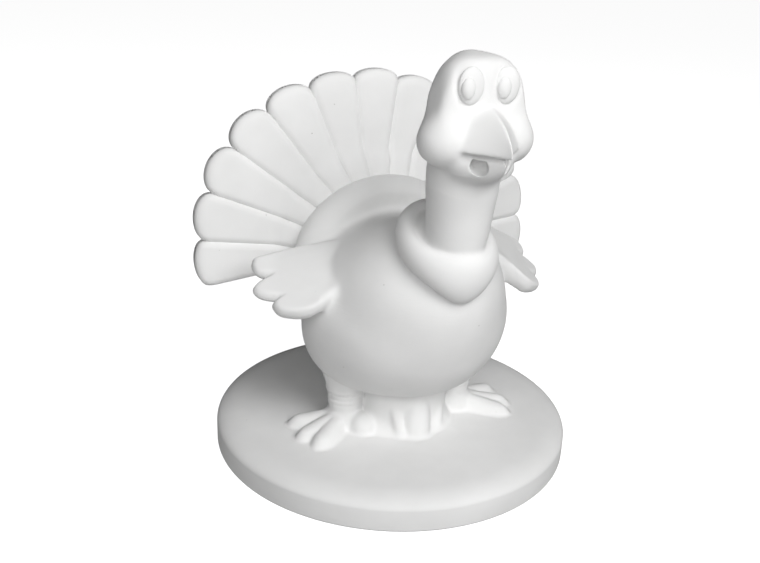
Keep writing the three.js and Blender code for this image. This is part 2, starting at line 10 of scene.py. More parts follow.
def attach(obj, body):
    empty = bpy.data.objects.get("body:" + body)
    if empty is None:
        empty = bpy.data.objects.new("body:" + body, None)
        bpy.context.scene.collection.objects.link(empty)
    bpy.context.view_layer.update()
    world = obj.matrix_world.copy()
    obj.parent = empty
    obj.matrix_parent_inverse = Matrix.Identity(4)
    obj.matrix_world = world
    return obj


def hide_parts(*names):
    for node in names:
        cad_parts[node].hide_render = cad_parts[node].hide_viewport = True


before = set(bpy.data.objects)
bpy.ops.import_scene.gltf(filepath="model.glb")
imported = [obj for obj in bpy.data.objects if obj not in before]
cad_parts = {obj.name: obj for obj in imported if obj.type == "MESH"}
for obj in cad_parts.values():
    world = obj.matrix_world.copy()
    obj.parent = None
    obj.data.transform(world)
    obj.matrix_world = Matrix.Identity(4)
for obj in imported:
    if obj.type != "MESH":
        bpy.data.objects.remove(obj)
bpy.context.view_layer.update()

# Plinth. A thick round disc of white earthenware, cast in a plaster mould, sponged and fired once, and
# left unglazed for painting. Sizes are in millimetres. Its shoulder is soft, its underside is flat, and
# the body's drain hole runs down through it.
plinth_radius = 60.0
plinth_top = 10.7
shoulder_run = 8.1
shoulder_drop = 3.5
foot_round = 1.0
plinth_inner_ring = 30
plinth_outer_ring = 50
plinth_facets = 160
drain_radius = 5.0
drain_middle = Vector((0, -11, 0))
drain_facets = 64
clay_shade = (0.79, 0.79, 0.785, 1)
clay_pale = (0.845, 0.845, 0.84, 1)
# Painted shade: the pinholes' dark grey colour stands for the shade inside them; the clay itself is white.
pinhole_painted_shade = (0.5, 0.49, 0.48, 1)
pinhole_depth = 6
grain_depth = 0.00003


def white_bisque(name, strokes):
    """Matte fired clay: faint clouds, fine grain, a few pinholes pitted into the surface and darkened with
    painted shade, and the strokes of the fettling sponge.
    """
    clay = bpy.data.materials.new(name)
    clay.use_nodes = True
    nodes = clay.node_tree.nodes
    links = clay.node_tree.links
    shader = nodes["Principled BSDF"]
    shader.inputs["Roughness"].default_value = 0.9
    shader.inputs["Specular IOR Level"].default_value = 0.22
    place = nodes.new("ShaderNodeTexCoord")

    clouds = nodes.new("ShaderNodeTexNoise")
    clouds.inputs["Scale"].default_value = 55
    clouds.inputs["Detail"].default_value = 4
    tone = nodes.new("ShaderNodeValToRGB")
    tone.color_ramp.elements[0].position = 0.3
    tone.color_ramp.elements[0].color = clay_shade
    tone.color_ramp.elements[1].position = 0.72
    tone.color_ramp.elements[1].color = clay_pale
    links.new(place.outputs["Object"], clouds.inputs["Vector"])
    links.new(clouds.outputs["Fac"], tone.inputs["Fac"])

    # Pinholes: small cells that are pitted in the bump and darkened in colour with painted shade.
    pinhole_cells = nodes.new("ShaderNodeTexVoronoi")
    pinhole_cells.inputs["Scale"].default_value = 260
    size = nodes.new("ShaderNodeMapRange")
    size.inputs["From Min"].default_value = 0.55
    size.inputs["To Max"].default_value = 0.055
    pinhole_cell_red = nodes.new("ShaderNodeSeparateColor")
    pinholes_pitted_and_painted_dark = nodes.new("ShaderNodeMath")
    pinholes_pitted_and_painted_dark.operation = "LESS_THAN"
    links.new(place.outputs["Object"], pinhole_cells.inputs["Vector"])
    links.new(pinhole_cells.outputs["Color"], pinhole_cell_red.inputs["Color"])
    links.new(pinhole_cell_red.outputs["Red"], size.inputs["Value"])
    links.new(pinhole_cells.outputs["Distance"], pinholes_pitted_and_painted_dark.inputs[0])
    links.new(size.outputs["Result"], pinholes_pitted_and_painted_dark.inputs[1])
    # The clay's tone, with painted shade mixed in where the pinholes are.
    tone_and_painted_pinhole_shade = nodes.new("ShaderNodeMix")
    tone_and_painted_pinhole_shade.data_type = "RGBA"
    tone_and_painted_pinhole_shade.inputs["B"].default_value = pinhole_painted_shade
    links.new(pinholes_pitted_and_painted_dark.outputs["Value"], tone_and_painted_pinhole_shade.inputs["Factor"])
    links.new(tone.outputs["Color"], tone_and_painted_pinhole_shade.inputs["A"])
    links.new(tone_and_painted_pinhole_shade.outputs["Result"], shader.inputs["Base Color"])

    grain = nodes.new("ShaderNodeTexNoise")
    grain.inputs["Scale"].default_value = 1700
    grain.inputs["Detail"].default_value = 3
    turned = nodes.new("ShaderNodeMapping")
    turned.inputs["Rotation"].default_value = (0, math.radians(38), 0)
    turned.inputs["Scale"].default_value = (90, 300, 1100)
    sponge = nodes.new("ShaderNodeTexNoise")
    sponge.inputs["Scale"].default_value = 1
    sponge.inputs["Detail"].default_value = 2
    both = nodes.new("ShaderNodeMath")
    both.operation = "MULTIPLY_ADD"
    both.inputs[1].default_value = strokes
    links.new(place.outputs["Object"], grain.inputs["Vector"])
    links.new(place.outputs["Object"], turned.inputs["Vector"])
    links.new(turned.outputs["Vector"], sponge.inputs["Vector"])
    links.new(sponge.outputs["Fac"], both.inputs[0])
    links.new(grain.outputs["Fac"], both.inputs[2])
    pitted = nodes.new("ShaderNodeMath")
    pitted.operation = "MULTIPLY_ADD"
    pitted.inputs[1].default_value = -pinhole_depth
    links.new(pinholes_pitted_and_painted_dark.outputs["Value"], pitted.inputs[0])
    links.new(both.outputs["Value"], pitted.inputs[2])
    bump = nodes.new("ShaderNodeBump")
    bump.inputs["Strength"].default_value = 0.55
    bump.inputs["Distance"].default_value = grain_depth
    links.new(pitted.outputs["Value"], bump.inputs["Height"])
    links.new(bump.outputs["Normal"], shader.inputs["Normal"])
    return clay


smooth_bisque = white_bisque("smooth_bisque", 0.4)
fettled_bisque = white_bisque("fettled_bisque", 2.2)


def lathe_turned(profile, steps):
    """A closed solid of revolution about the upright through the plinth's middle."""
    turned = bmesh.new()
    spots = [turned.verts.new((out, 0, up)) for out, up in profile]
    rim = [turned.edges.new(pair) for pair in zip(spots, spots[1:])]
    bmesh.ops.spin(
        turned, geom=spots + rim, axis=(0, 0, 1), cent=(0, 0, 0),
        angle=2 * math.pi, steps=steps, use_merge=True
    )
    bmesh.ops.remove_doubles(turned, verts=turned.verts, dist=1e-4)
    bmesh.ops.recalc_face_normals(turned, faces=turned.faces)
    return turned


def drain_rod(low, high):
    """The rod that leaves the drain hole."""
    rod = bmesh.new()
    middle = Matrix.Translation(drain_middle + Vector((0, 0, (low + high) / 2)))
    bmesh.ops.create_cone(
        rod, cap_ends=True, segments=drain_facets, radius1=drain_radius, radius2=drain_radius,
        depth=high - low, matrix=middle
    )
    return rod


def lump_object(name, lump):
    """A lump of clay as an object of its own, for the modifiers to work on."""
    mesh = bpy.data.meshes.new(name)
    lump.to_mesh(mesh)
    block = bpy.data.objects.new(name, mesh)
    bpy.context.scene.collection.objects.link(block)
    return block


def worked(block, hollows):
    """The block's finished surface, less the hollows, as a bmesh. The block itself is used up."""
    tools = [lump_object("hollow", hollow) for hollow in hollows]
    for tool in tools:
        cut = block.modifiers.new("cut", "BOOLEAN")
        cut.operation = "DIFFERENCE"
        cut.object = tool
    surface = bpy.data.meshes.new_from_object(block.evaluated_get(bpy.context.evaluated_depsgraph_get()))
    skin = bmesh.new()
    skin.from_mesh(surface)
    bpy.data.meshes.remove(surface)
    for used in [block] + tools:
        bpy.data.meshes.remove(used.data)
    return skin


def fired(node, clay, skin):
    """A finished piece: scaled to metres, smooth, carried by the figure in place of its plain solid."""
    bmesh.ops.scale(skin, vec=(0.001, 0.001, 0.001), verts=skin.verts)
    mesh = bpy.data.meshes.new("fired_" + node)
    skin.to_mesh(mesh)
    skin.free()
    mesh.materials.append(clay)
    mesh.shade_smooth()
    piece = bpy.data.objects.new("fired_" + node, mesh)
    bpy.context.scene.collection.objects.link(piece)
    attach(piece, "root")
    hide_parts(node)
    return piece


plinth_profile = [(0, 0), (plinth_inner_ring, 0), (plinth_radius - 2 * foot_round, 0)]
for share in np.linspace(0, 1, 7):
    bend = share * math.pi / 2
    plinth_profile.append((
        plinth_radius - foot_round * (1 - math.sin(bend)),
        foot_round * (1 - math.cos(bend)),
    ))
for share in np.linspace(0, 1, 17):
    bend = share * math.pi / 2
    plinth_profile.append((
        plinth_radius - shoulder_run * (1 - math.cos(bend)),
        plinth_top - shoulder_drop * (1 - math.sin(bend)),
    ))
plinth_profile += [(out, plinth_top) for out in (plinth_outer_ring, plinth_inner_ring, 0)]
plinth_block = lump_object("plinth", lathe_turned(plinth_profile, plinth_facets))
plinth_skin = worked(plinth_block, [drain_rod(-1, plinth_top + 1)])
fired("base_plinth", fettled_bisque, plinth_skin)

# Legs, feet and prop. Two short clay legs with three long toes each, and the thick lobed prop that carries
# the belly round the drain hole. They are luted to the plinth with slip, which leaves a soft fillet all round.
belly_floor = 24.5
belly_middle = Vector((0, -6.6, 49.5))
sides = (("right", -1), ("left", 1))
leg_spread = 20.0
ankle_rise = 6.5
ankle_radius = 5.4
leg_crease = 0.7
leg_flare = 2.4
leg_flare_start = 0.6
leg_facets = 40
heel_radius = 7.4
toe_tips = [(15.5, -14.4), (19.2, -7.4), (18.8, 3.6)]
toe_radius = 3.7
toe_thickness = 3.6
toe_stations = (0, 0.2, 0.4, 0.6, 0.7, 0.78, 0.85, 0.91, 0.95, 0.98, 0.995)
toe_round_start = 0.7
toe_round_run = 0.3
toe_facets = 24
ball_place = (3.4, -7.2, 1.4)
ball_radii = (4.4, 4.6, 4.6)
prop_half_width = 14.2
prop_half_depth = 10.8
prop_flare = 2.6
prop_flare_share = 0.4
prop_facets = 96
leaf_facets = 32
prop_leaves = [
    ((-0.8, -22.0, 11), (0.0, -19.8, 23), 4.7, 4.0),
    ((-6.4, -21.6, 11), (-8.0, -17.6, 22.5), 1.9, 2.4),
    ((7.0, -19.8, 11), (9.0, -16.2, 21.5), 2.6, 2.6),
]
slab_radius = 52
slab_depth = 4
stand_drain = (plinth_top - 6, 48)
skin_grain = 0.45
skin_sponging = 2
prop_sponging = 8
slip_reach = 2.5
slip_sponging = 14
joint_depth = 0.9
cap_drop = 0.6
plinth_skim = 0.04
egg_fineness = 5


def oval(middle, half_width, half_depth, facets):
    """A level ring of points."""
    turns = [2 * math.pi * step / facets for step in range(facets)]
    return [middle + Vector((half_width * math.cos(t), half_depth * math.sin(t), 0)) for t in turns]


def rolled(rings, closed=False):
    """A roll of clay laid through rings of points, ring by ring, closed on itself or capped at its ends."""
    roll = bmesh.new()
    loops = []
    for ring in rings:
        circle = bmesh.ops.create_circle(roll, segments=len(ring), radius=1)["verts"]
        for vert, spot in zip(circle, ring):
            vert.co = spot
        loops.append(list({edge for vert in circle for edge in vert.link_edges}))
    for near, far in zip(loops, loops[1:] + loops[:1] if closed else loops[1:]):
        bmesh.ops.bridge_loops(roll, edges=near + far)
    if not closed:
        bmesh.ops.holes_fill(roll, edges=loops[0] + loops[-1], sides=0)
    bmesh.ops.recalc_face_normals(roll, faces=roll.faces)
    return roll


def egg(middle, radii):
    """An egg of clay."""
    ball = bmesh.new()
    bmesh.ops.create_icosphere(
        ball, subdivisions=egg_fineness, radius=1,
        matrix=Matrix.Translation(middle) @ Matrix.Diagonal((*radii, 1))
    )
    return ball


def gathered(lumps):
    """Several lumps in one bmesh."""
    heap = bmesh.new()
    for lump in lumps:
        mesh = bpy.data.meshes.new("lump")
        lump.to_mesh(mesh)
        heap.from_mesh(mesh)
        bpy.data.meshes.remove(mesh)
    return heap


def pressed(lumps, grain, hollows=()):
    """One even skin over lumps that overlap, in facets of that grain, less the hollows."""
    block = lump_object("block", gathered(lumps))
    skin = block.modifiers.new("skin", "REMESH")
    skin.mode = "VOXEL"
    skin.voxel_size = grain
    return worked(block, hollows)


def owners(skin, lumps):
    """For each point of the skin, the lump that it came from and the gap to the lump that comes next."""
    trees = [BVHTree.FromBMesh(lump) for lump in lumps]
    found = []
    for vert in skin.verts:
        gaps = sorted((tree.find_nearest(vert.co)[3], number) for number, tree in enumerate(trees))
        found.append((gaps[0][1], gaps[1][0], gaps[1][1]))
    return found


def sponged(skin, verts, rounds):
    """A wet sponge drawn over the skin."""
    for _ in range(rounds):
        bmesh.ops.smooth_vert(
            skin, verts=verts, factor=0.5, use_axis_x=True, use_axis_y=True, use_axis_z=True
        )


def rim_loops(piece):
    """The open rims of a piece, each as its own set of edges."""
    spare = {edge for edge in piece.edges if edge.is_boundary}
    while spare:
        loop = {spare.pop()}
        front = list(loop)
        while front:
            near = {edge for vert in front.pop().verts for edge in vert.link_edges} & spare
            spare -= near
            loop |= near
            front += near
        yield loop


def extruded(piece, edges):
    """The new points of a rim that has been drawn out."""
    drawn = bmesh.ops.extrude_edge_only(piece, edges=list(edges))["geom"]
    return [part for part in drawn if isinstance(part, bmesh.types.BMVert)]


def parted(skin, owner_of_face, names, hubs, ceiling=None):
    """The skin divided into its pieces, each closed inside and keeping the skin's own smooth shading."""
    skin.normal_update()
    shading = skin.verts.layers.float_vector.new("shading")
    for vert in skin.verts:
        vert[shading] = vert.normal
    owner = [owner_of_face(face) for face in skin.faces]
    for name in names:
        piece = skin.copy()
        spare = [face for face, mine in zip(piece.faces, owner) if mine != name]
        bmesh.ops.delete(piece, geom=spare, context="FACES")
        layer = piece.verts.layers.float_vector["shading"]
        for vert in extruded(piece, [edge for edge in piece.edges if edge.is_boundary]):
            vert.co -= joint_depth * vert[layer]
        drain_rim = None
        wide_rim = []
        for loop in list(rim_loops(piece)):
            spots = [vert.co for edge in loop for vert in edge.verts]
            away = [((spot - drain_middle) * Vector((1, 1, 0))).length for spot in spots]
            if max(away) < drain_radius + 2 * joint_depth:
                drain_rim = loop
            elif min(away) > drain_radius and len(loop) > len(wide_rim):
                wide_rim = loop
        if drain_rim and wide_rim:
            bmesh.ops.bridge_loops(piece, edges=list(drain_rim) + list(wide_rim))
        for loop in list(rim_loops(piece)):
            hub = extruded(piece, loop)
            middle = hubs[name] if name in hubs else sum((vert.co for vert in hub), Vector()) / len(hub)
            if ceiling:
                middle.z = min(middle.z, ceiling)
            bmesh.ops.pointmerge(piece, verts=hub, merge_co=middle)
        yield name, piece
    skin.free()


def shaded(piece):
    """Gives a parted piece the shading of the whole skin, so that no seam shows at the slip joints."""
    mesh = piece.data
    normals = np.zeros(3 * len(mesh.vertices), np.float32)
    mesh.attributes["shading"].data.foreach_get("vector", normals)
    mesh.attributes.remove(mesh.attributes["shading"])
    mesh.normals_split_custom_set_from_vertices(normals.reshape(-1, 3))


stand_lumps = {}
for side, sign in sides:
    ankle = Vector((sign * leg_spread, belly_middle.y, plinth_top + ankle_rise))
    leg_rings = []
    for share in np.linspace(-0.15, 1.8, 36):
        rise = ankle.z + share * (belly_floor - ankle.z)
        wrinkle = leg_crease * math.sin(4 * math.pi * share) ** 2 if 0 < share < 1 else 0
        radius = ankle_radius + wrinkle + max(share - leg_flare_start, 0) * leg_flare
        leg_rings.append(oval(Vector((ankle.x, ankle.y, rise)), radius, radius, leg_facets))
    stand_lumps[side + "_leg"] = rolled(leg_rings)
    toes = [egg(Vector((ankle.x, ankle.y, plinth_top + 1)), (heel_radius, heel_radius, ankle_rise))]
    if side == "right":
        ball = Vector((ankle.x - sign * ball_place[0], ankle.y + ball_place[1], plinth_top + ball_place[2]))
        toes.append(egg(ball, ball_radii))
    for out, back in toe_tips:
        along = Vector((sign * out, back, 0))
        across = Vector((-along.y, along.x, 0)).normalized()
        toe_rings = []
        for share in toe_stations:
            past = max(share - toe_round_start, 0) / toe_round_run
            rounding = math.sqrt(1 - past * past)
            thinning = min(share / toe_round_start, 1)
            thick = (ankle_rise - 1 + (toe_thickness - ankle_rise + 1) * thinning) * rounding
            middle = Vector((ankle.x, ankle.y, plinth_top)) + share * along
            ring = []
            for step in range(toe_facets):
                turn = 2 * math.pi * step / toe_facets
                aside = toe_radius * rounding * math.cos(turn) * across
                ring.append(middle + aside + Vector((0, 0, thick * math.sin(turn))))
            toe_rings.append(ring)
        toes.append(rolled(toe_rings))
    stand_lumps[side + "_foot"] = gathered(toes)
prop_rings = []
for share in np.linspace(-0.1, 1.25, 20):
    flare = prop_flare * (1 - min(max(share, 0) / prop_flare_share, 1)) ** 2
    rise = plinth_top + share * (belly_floor - plinth_top)
    middle = drain_middle + Vector((0, 0, rise))
    prop_rings.append(oval(middle, prop_half_width + flare, prop_half_depth + flare, prop_facets))
leaves = []
for foot, top, half_width, half_depth in prop_leaves:
    leaf_rings = []
    for share in np.linspace(-0.1, 1, 20):
        swell = math.sqrt(max(1 - max(share, 0) ** 4, 0.01))
        middle = Vector(foot).lerp(Vector(top), share)
        leaf_rings.append(oval(middle, half_width * swell, half_depth * swell, leaf_facets))
    leaves.append(rolled(leaf_rings))
stand_lumps["belly_prop"] = gathered([rolled(prop_rings)] + leaves)
slab = bmesh.new()
bmesh.ops.create_cone(
    slab, cap_ends=True, segments=prop_facets, radius1=slab_radius, radius2=slab_radius, depth=slab_depth,
    matrix=Matrix.Translation((0, 0, plinth_top - slab_depth / 2))
)
stand_names = list(stand_lumps) + ["plinth"]
stand_sources = list(stand_lumps.values()) + [slab]
stand_skin = pressed(stand_sources, skin_grain, [drain_rod(*stand_drain)])
stand_owner = owners(stand_skin, stand_sources)
stand_skin.verts.ensure_lookup_table()
sponged(stand_skin, stand_skin.verts, skin_sponging)
prop_number = stand_names.index("belly_prop")
prop_verts = [vert for vert, (mine, _, _) in zip(stand_skin.verts, stand_owner) if mine == prop_number]
sponged(stand_skin, prop_verts, prop_sponging)
slip_verts = [vert for vert, (_, gap, _) in zip(stand_skin.verts, stand_owner) if gap < slip_reach]
sponged(stand_skin, slip_verts, slip_sponging)


def stand_face(face):
    """The piece that a face of the stand belongs to; what rises from the plinth's top isn't the plinth."""
    middle = face.calc_center_median()
    if middle.z < plinth_top + plinth_skim:
        return "plinth"
    tally = [stand_owner[vert.index][0] for vert in face.verts]
    mine = max(set(tally), key=tally.count)
    if stand_names[mine] == "plinth":
        tally = [stand_owner[vert.index][2] for vert in face.verts]
        mine = max(set(tally), key=tally.count)
    return stand_names[mine]


for node, skin in parted(stand_skin, stand_face, list(stand_lumps), {}, plinth_top - cap_drop):
    shaded(fired(node, smooth_bisque, skin))

# Body. One hollow casting in white earthenware: a round belly, the lower belly, breast, chest and shoulders,
# and the dished mantle of back feathers, whose rim stands before the tail. The drain hole opens in its
# flattened floor.
belly = (belly_middle, (34, 29, 29))
lower_belly = (belly_middle + Vector((0, 5, -10.5)), (29.5, 25, 17))
breast = (belly_middle + Vector((0, -12, 1)), (25, 21, 21))
chest = (belly_middle + Vector((0, -17, 13)), (20, 19, 17))
shoulders = (belly_middle + Vector((0, -10, 14)), (23, 19, 16))
tail_root = (belly_middle + Vector((0, 28, 11)), (11, 8, 11))
body_eggs = [belly, lower_belly, breast, chest, shoulders, tail_root]
body_blend = 9.0
mantle_middle = belly_middle + Vector((0, 21.4, 6.5))
mantle_radius = 32.0
mantle_rim = 5.5
mantle_foot = belly_middle.z + 12
mantle_blend = 15.0
bead_out = 29.4
bead_proud = 4.0
bead_radius = 2.8
bead_blend = 6.0
floor_blend = 5.0
body_heart = belly_middle + Vector((0, 25, 6.5))
hollow_heart = belly_middle + Vector((0, 21, 6.5))
body_wall = 4.5
dish_depth = 1.8
dish_width = 7.0
body_fineness = 7
hollow_fineness = 5
blow_reach = 120.0
blow_rounds = 30


def egg_gap(spots, middle, radii, flatness=2):
    """How far points lie outside an egg flattened in front and behind; less than nothing inside it."""
    scaled = (spots - np.array(middle)) / np.array(radii)
    outline = np.maximum(np.hypot(scaled[:, 0], scaled[:, 2]), 1e-9)
    depth = np.abs(scaled[:, 1])
    size = np.maximum((outline ** flatness + depth ** flatness) ** (1 / flatness), 1e-9)
    outward = (outline / size) ** (flatness - 1) / outline
    forward = (depth / size) ** (flatness - 1)
    slope = np.stack([outward * scaled[:, 0], forward, outward * scaled[:, 2]], axis=1) / np.array(radii)
    return (size - 1) / np.maximum(np.linalg.norm(slope, axis=1), 1e-9)


def soft_least(a, b, blend):
    """The lesser of two gaps, with a fillet where they meet."""
    share = np.maximum(blend - np.abs(a - b), 0) / blend
    return np.minimum(a, b) - share * share * blend / 4


def eggs_gap(spots, eggs, blend):
    """How far points lie outside eggs of clay pressed together."""
    gap = egg_gap(spots, *eggs[0])
    for other in eggs[1:]:
        gap = soft_least(gap, egg_gap(spots, *other), blend)
    return gap


def body_gap(spots):
    """How far points lie outside the body."""
    trunk = eggs_gap(spots, body_eggs, body_blend)
    from_mantle = spots - np.array(mantle_middle)
    reach = np.hypot(from_mantle[:, 0], from_mantle[:, 2])
    mantle = np.hypot(np.maximum(reach - mantle_radius + mantle_rim, 0), from_mantle[:, 1]) - mantle_rim
    dished = np.sin(np.clip((bead_out - reach) / dish_width, 0, 1) * math.pi / 2) * dish_depth
    mantle = np.maximum(mantle, dished - mantle_rim - from_mantle[:, 1])
    mantle = -soft_least(-mantle, spots[:, 2] - mantle_foot, mantle_blend)
    trunk = soft_least(trunk, mantle, mantle_blend)
    bead = np.hypot(reach - bead_out, from_mantle[:, 1] + bead_proud)
    bead = np.maximum(bead - bead_radius, mantle_foot - spots[:, 2])
    trunk = soft_least(trunk, bead, bead_blend)
    return -soft_least(-trunk, spots[:, 2] - belly_floor, floor_blend)


def blown(gap, heart, offset, fineness):
    """A ball blown up inside a form until it meets the form's skin, at an offset from it."""
    ball = bmesh.new()
    bmesh.ops.create_icosphere(ball, subdivisions=fineness, radius=1)
    rays = np.array([vert.co.normalized() for vert in ball.verts])
    near = np.zeros(len(rays))
    far = np.full(len(rays), blow_reach)
    for _ in range(blow_rounds):
        middle = (near + far) / 2
        inside = gap(np.array(heart) + rays * middle[:, None]) < offset
        near = np.where(inside, middle, near)
        far = np.where(inside, far, middle)
    for vert, ray, reach in zip(ball.verts, rays, near):
        vert.co = heart + Vector(ray * reach)
    return ball


body_lump = blown(body_gap, body_heart, 0, body_fineness)
body_hollow = blown(body_gap, hollow_heart, -body_wall, hollow_fineness)

# Tail. Thirteen broad clay feathers with scalloped tips, set edge to edge in a fan behind the mantle, with a
# narrow crease between each two. Those on the diagonals are a little longer, and their roots rise to the
# mantle's rim.
feather_count = 13
feather_step = math.radians(15)
fan_hub = belly_middle + Vector((0, 30.4, 11))
fan_lean = math.radians(1.8)
feather_tip = 61.8
feather_notch = 58.6
feather_root = 7.0
feather_thickness = 6.6
feather_tip_fullness = {"right": 4.4, "left": 2.4}
feather_notch_fullness = 2.0
feather_full_turn = math.radians(51)
feather_left_trim = 1.2
feather_edge = 0.3
feather_edge_round = 3.2
feather_crease = 0.7
feather_crease_round = 2.2
feather_flare = 4.5
feather_flare_foot = 32.0
feather_stations = (60, 50, 40, 32, 26, 23, 20, 16, 12, 9, 6.5, 4.6, 3.2, 2.2, 1.4, 0.8, 0.35, 0.08, 0)
feather_points = 41


def feather_reach(turn, share):
    """How far a feather reaches at a share of its half width, fuller on the diagonals and on the right."""
    full = math.sin(math.pi / 2 * (turn + feather_step / 2 * share) / feather_full_turn) ** 2
    trim = feather_left_trim if turn > 0 else 0
    notch = feather_notch - trim + feather_notch_fullness * full
    crown = feather_tip - trim + feather_tip_fullness["left" if turn > 0 else "right"] * full
    return notch + (crown - notch) * math.sqrt(max(1 - share * share, 0))


def feather_spot(turn, share, short, upper):
    """A point of a feather's front or back, some way short of its tip, before the feather is swung out."""
    reach = feather_reach(turn, share)
    along = max(reach - short * (reach - feather_root) / (feather_notch - feather_root), feather_root)
    to_tip = min((reach - along) / feather_edge_round, 1)
    to_side = min((1 - abs(share)) * along * feather_step / 2 / feather_crease_round, 1)
    rounding = feather_edge + (1 - feather_edge) * math.sqrt(1 - (1 - to_tip) ** 2)
    rounding *= feather_crease + (1 - feather_crease) * (1 - (1 - to_side) ** 2)
    swell = upper * rounding * feather_thickness / 2
    if upper > 0:
        climb = min(max((feather_flare_foot + feather_flare - along) / feather_flare, 0), 1)
        swell += feather_flare * (1 - math.sqrt(1 - climb * climb))
    aside = feather_step / 2 * share
    return Vector((along * math.sin(aside), -swell, along * math.cos(aside)))


across_shares = np.sin(np.linspace(-math.pi / 2, math.pi / 2, feather_points))
for number in range(feather_count):
    turn = (number - (feather_count - 1) / 2) * feather_step
    swing = Matrix.Rotation(-fan_lean, 3, "X") @ Matrix.Rotation(turn, 3, "Y")
    feather_rings = []
    for short in feather_stations:
        front = [feather_spot(turn, share, short, 1) for share in across_shares]
        back = [feather_spot(turn, share, short, -1) for share in reversed(across_shares)]
        feather_rings.append([fan_hub + swing @ spot for spot in front + back])
    fired("tail_feather_%02d" % (number + 1), smooth_bisque, rolled(feather_rings))

# Wings. Two short mitten-like clay wings with three finger feathers, modelled by hand and luted to the
# shoulders, then sponged until their upper side runs into the body.
wing_outset = 37.5
wing_back = 2.5
wing_rise = {"right": 14.0, "left": 14.2}
wing_droop = {"right": math.radians(9), "left": math.radians(27)}
wing_slope = math.radians(32)
wing_twist = 0.25
wing_thickness = 6.4
wing_root_swell = 1.4
wing_tip_swell = 0.62
wing_root = 18.0
wing_reach = 14.0
wing_spots = [
    (-18, -8), (7.8, -10), (11.6, -8.4), (12, -6), (11.1, -3.6), (8.6, -1.3),
    (11.2, -0.8), (13.8, 1.3), (13.2, 3.8), (11.2, 5.8), (8.4, 7.5), (9.6, 8.9),
    (9, 11.4), (7, 13.6), (1.7, 16.2), (-3, 16.3), (-8.4, 14.3), (-18, 10),
]
palm_spots = [
    (-16, -6), (5, -7.2), (6.6, -6.6), (6.8, -5.6), (6.6, -4.2), (4.8, -1.6),
    (6.6, 0.4), (7.8, 1.6), (7.4, 3), (6.2, 4.4), (4, 7.4), (5.6, 9),
    (5.4, 10.4), (4.2, 11.4), (0.6, 13), (-3.4, 13), (-8, 11.4), (-16, 8),
]
wing_edge = [0, 0.015, 0.04, 0.08, 0.14, 0.22, 0.34, 0.5, 0.75, 1]
edge_steepness = (6, 8, 9, 9, 6, 2.5, 6, 9, 9, 6, 2.5, 6, 9, 9, 8, 7, 6, 6)
outline_steps = 8


def curved_outline(spots, steps):
    """A smooth closed outline through the spots."""
    outline = []
    for number, spot in enumerate(spots):
        before, after, beyond = (Vector(spots[(number + k) % len(spots)]) for k in (-1, 1, 2))
        spot = Vector(spot)
        leaving = spot + (after - before) / 6
        arriving = after - (beyond - spot) / 6
        bend = interpolate_bezier(spot, leaving, arriving, after, steps + 1)
        outline += [(p.x, p.y) for p in bend[:-1]]
    return outline


wing_outline = curved_outline(wing_spots, outline_steps)
palm_outline = curved_outline(palm_spots, outline_steps)
steepness = [steep for steep, _ in curved_outline([(steep, 0) for steep in edge_steepness], outline_steps)]


def wing_ring(share, upper, place):
    """One ring of a wing, from its edge in to the flat palm, where the notches run out as grooves."""
    ring = []
    for (along, across), (palm_along, palm_across), steep in zip(wing_outline, palm_outline, steepness):
        swell = upper * (1 - (1 - share) ** steep) * wing_thickness / 2
        inward_along = along + (palm_along - along) * share
        inward_across = across + (palm_across - across) * share
        ring.append(place(inward_along, inward_across, swell))
    return ring


wing_lumps = {}
chord_axis = Vector((0, -math.cos(wing_slope), -math.sin(wing_slope)))
for side, sign in sides:
    wrist = belly_middle + Vector((wing_outset, wing_back, wing_rise[side]))
    span_axis = Vector((math.cos(wing_droop[side]), 0, -math.sin(wing_droop[side])))
    top_axis = chord_axis.cross(span_axis).normalized()

    def on_wing(along, across, swell):
        """A point of this wing, by how far it lies along the span, across the chord and above the palm."""
        inward = min(max((wing_reach - along) / (wing_reach + wing_root), 0), 1)
        fullness = wing_tip_swell + (wing_root_swell - wing_tip_swell) * inward
        lift = swell * fullness + wing_twist * across * inward
        spot = wrist + along * span_axis + across * chord_axis + lift * top_axis
        return Vector((sign * spot.x, spot.y, spot.z))

    under = [wing_ring(share, -1, on_wing) for share in reversed(wing_edge)]
    over = [wing_ring(share, 1, on_wing) for share in wing_edge[1:]]
    wing_lumps[side + "_wing"] = rolled(under + over)

# Collar. A soft cowl of clay, rolled by hand, laid round the foot of the neck and drawn to a point on the
# chest. It lies on a low swelling of the body.
collar_middle = Vector((0, belly_middle.y - 25.6, belly_middle.z + 30))
collar_half_width = 11.4
collar_half_length = 12.6
collar_tilt = 5.5
collar_half_height = 5
collar_half_thickness = 3.7
collar_point_drop = 1.2
collar_point_height = 2.6
collar_point_lean = 1.2
collar_facets = 120
roll_facets = 32
bed_radii = (12.2, 13.6, 7.0)
bed_tilt = math.radians(21)
bed_place = collar_middle + Vector((0, 0.6, 0.4))
collar_rings = []
for step in range(collar_facets):
    turn = 2 * math.pi * step / collar_facets
    front = max(math.cos(turn), 0) ** 4
    outward = Vector((math.sin(turn), -math.cos(turn), 0))
    centre = collar_middle + Vector((
        collar_half_width * math.sin(turn),
        -collar_half_length * math.cos(turn),
        -collar_tilt * math.cos(turn) - collar_point_drop * front,
    ))
    height = collar_half_height + collar_point_height * front
    ring = []
    for part in range(roll_facets):
        bend = 2 * math.pi * part / roll_facets
        out = collar_half_thickness * math.cos(bend) + collar_point_lean * front * math.sin(bend)
        ring.append(centre + out * outward + Vector((0, 0, height * math.sin(bend))))
    collar_rings.append(ring)
collar_lump = rolled(collar_rings, closed=True)
collar_bed = egg(Vector((0, 0, 0)), bed_radii)
bmesh.ops.rotate(collar_bed, matrix=Matrix.Rotation(bed_tilt, 3, "X"), verts=collar_bed.verts)
bmesh.ops.translate(collar_bed, vec=bed_place, verts=collar_bed.verts)

